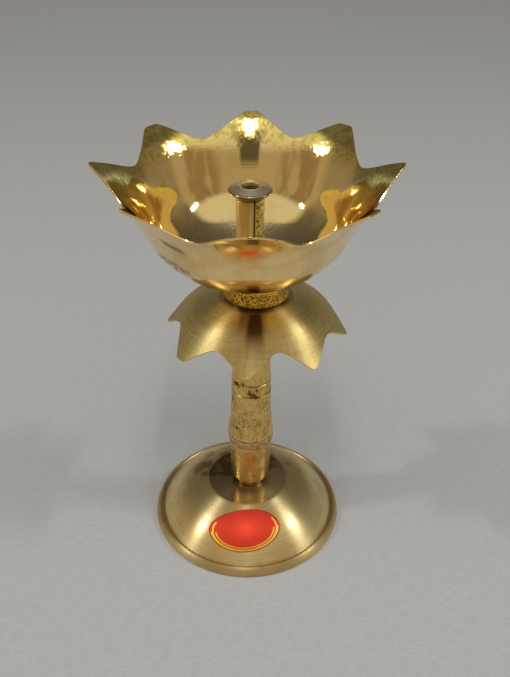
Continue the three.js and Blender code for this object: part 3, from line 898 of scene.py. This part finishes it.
# The foil oval: a thin metallised sticker on the front of the dome, plain red, with a plain double gold
# line along its lower edge.
foil_middle = 0.44
foil_turn = math.radians(-91.2)
foil_roll = math.radians(7)
foil_half_width = 13.1
foil_half_length = 7.6
foil_lift = 0.15
foil_thickness = 0.12
foil_rings = 24
foil_around = 128
outer_line = (0.88, 0.91)    # shares of the way from the foil's middle to its edge
outer_line_broad = 0.95
inner_line = (0.80, 0.83)
line_broadens = -0.25        # heights on the oval, from -1 at its bottom to 1 at its top
line_ends = 0.3
foil_red = (0.84, 0.05, 0.014, 1)
foil_gold = (0.95, 0.66, 0.08, 1)
dome_length = math.hypot(groove[0] - crest[0], groove[1] - crest[1])
dome_middle_radius = dome_point(foil_middle)[0]


def foil_point(sideways, lengthways, lift):
    """A point of the foil from its place on the oval in millimetres, wrapped on the dome."""
    radius, height = dome_point(foil_middle - lengthways / dome_length, -lift)
    angle = foil_turn + sideways / dome_middle_radius
    return radius * math.cos(angle), radius * math.sin(angle), height


def on_gold_line(part, swing):
    """Whether a place on the oval is gold: an outer line, broader at the bottom, and a thin inner one."""
    height = math.sin(swing)
    bottom = height < line_broadens
    on_outer = outer_line[0] < part < (outer_line_broad if bottom else outer_line[1]) and height < line_ends
    on_inner = inner_line[0] < part < inner_line[1] and bottom
    return on_outer or on_inner


def foil_index(ring, k):
    """The vertex at a step round a ring. Ring 0 is the middle."""
    return 1 + (ring - 1) * foil_around + k % foil_around if ring else 0


def paint_foil(colour):
    """The paint of metallised foil in a colour, for finish_of."""
    def paint(wire):
        place = wire.node("TexCoord", output="Object")
        crinkle = place.speckle(260, 3)
        return {
            "Base Color": colour,
            "Roughness": 0.34 + crinkle * 0.10,
            "Normal": bumped(crinkle, 0.08 * mm),
        }
    return paint


foil_vertices = []
for lift in (foil_lift, foil_lift + foil_thickness):
    foil_vertices.append(foil_point(0, 0, lift))
    for ring in range(1, foil_rings + 1):
        for k in range(foil_around):
            swing = 2 * math.pi * k / foil_around
            part = ring / foil_rings
            wide = foil_half_width * part * math.cos(swing)
            long = foil_half_length * part * math.sin(swing)
            sideways = wide * math.cos(foil_roll) - long * math.sin(foil_roll)
            lengthways = wide * math.sin(foil_roll) + long * math.cos(foil_roll)
            foil_vertices.append(foil_point(sideways, lengthways, lift))
layer = len(foil_vertices) // 2

foil_faces, foil_slots = [], []
for k in range(foil_around):
    for ring in range(foil_rings):
        corners = [foil_index(ring, k), foil_index(ring + 1, k), foil_index(ring + 1, k + 1)]
        if ring:
            corners.append(foil_index(ring, k + 1))
        foil_faces.append(tuple(layer + corner for corner in corners))
        foil_faces.append(tuple(corners[::-1]))
        part = (ring + 0.5) / foil_rings
        swing = 2 * math.pi * (k + 0.5) / foil_around
        foil_slots += [1 if on_gold_line(part, swing) else 0, 0]
    edge, following = foil_index(foil_rings, k), foil_index(foil_rings, k + 1)
    foil_faces.append((edge, following, layer + following, layer + edge))
    foil_slots.append(0)

foil = piece_from("foil_oval", foil_vertices, foil_faces, axis_of("base_dish"), slots=foil_slots)
foil.data.materials.append(finish_of("red_foil", paint_foil(foil_red), Metallic=0.5))
foil.data.materials.append(finish_of("gold_foil", paint_foil(foil_gold), Metallic=1.0))
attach(foil, "root")
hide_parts("foil_label")


# Out of sight: the plated rod through the stack, its nut and washer under the foot, and the red
# fibre washer in the bowl.
zinc = (0.62, 0.62, 0.60, 1)
zinc_bloom = (0.42, 0.41, 0.38, 1)
fibre_red = (0.20, 0.06, 0.04, 1)
fibre_pale_red = (0.42, 0.16, 0.10, 1)


def paint_plating(wire):
    place = wire.node("TexCoord", output="Object")
    bloom = place.speckle(400, 4)
    return {
        "Base Color": bloom.between(0.35, 0.7).tint(zinc, zinc_bloom),
        "Roughness": 0.28 + bloom * 0.2,
        "Normal": bumped(bloom, 0.04 * mm),
    }


def paint_fibre(wire):
    place = wire.node("TexCoord", output="Object")
    fibres = place.speckle(1200, 4, 0.7)
    return {
        "Base Color": fibres.tint(fibre_red, fibre_pale_red),
        "Normal": bumped(fibres, 0.1 * mm),
    }


plating = finish_of("zinc_plating", paint_plating, Metallic=1.0)
fibre = finish_of("pressed_fibre", paint_fibre, Roughness=0.8)
for node, material in (
    ("tie_rod", plating), ("base_nut", plating), ("base_washer", plating), ("bowl_washer", fibre),
):
    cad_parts[node].data.materials.clear()
    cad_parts[node].data.materials.append(material)
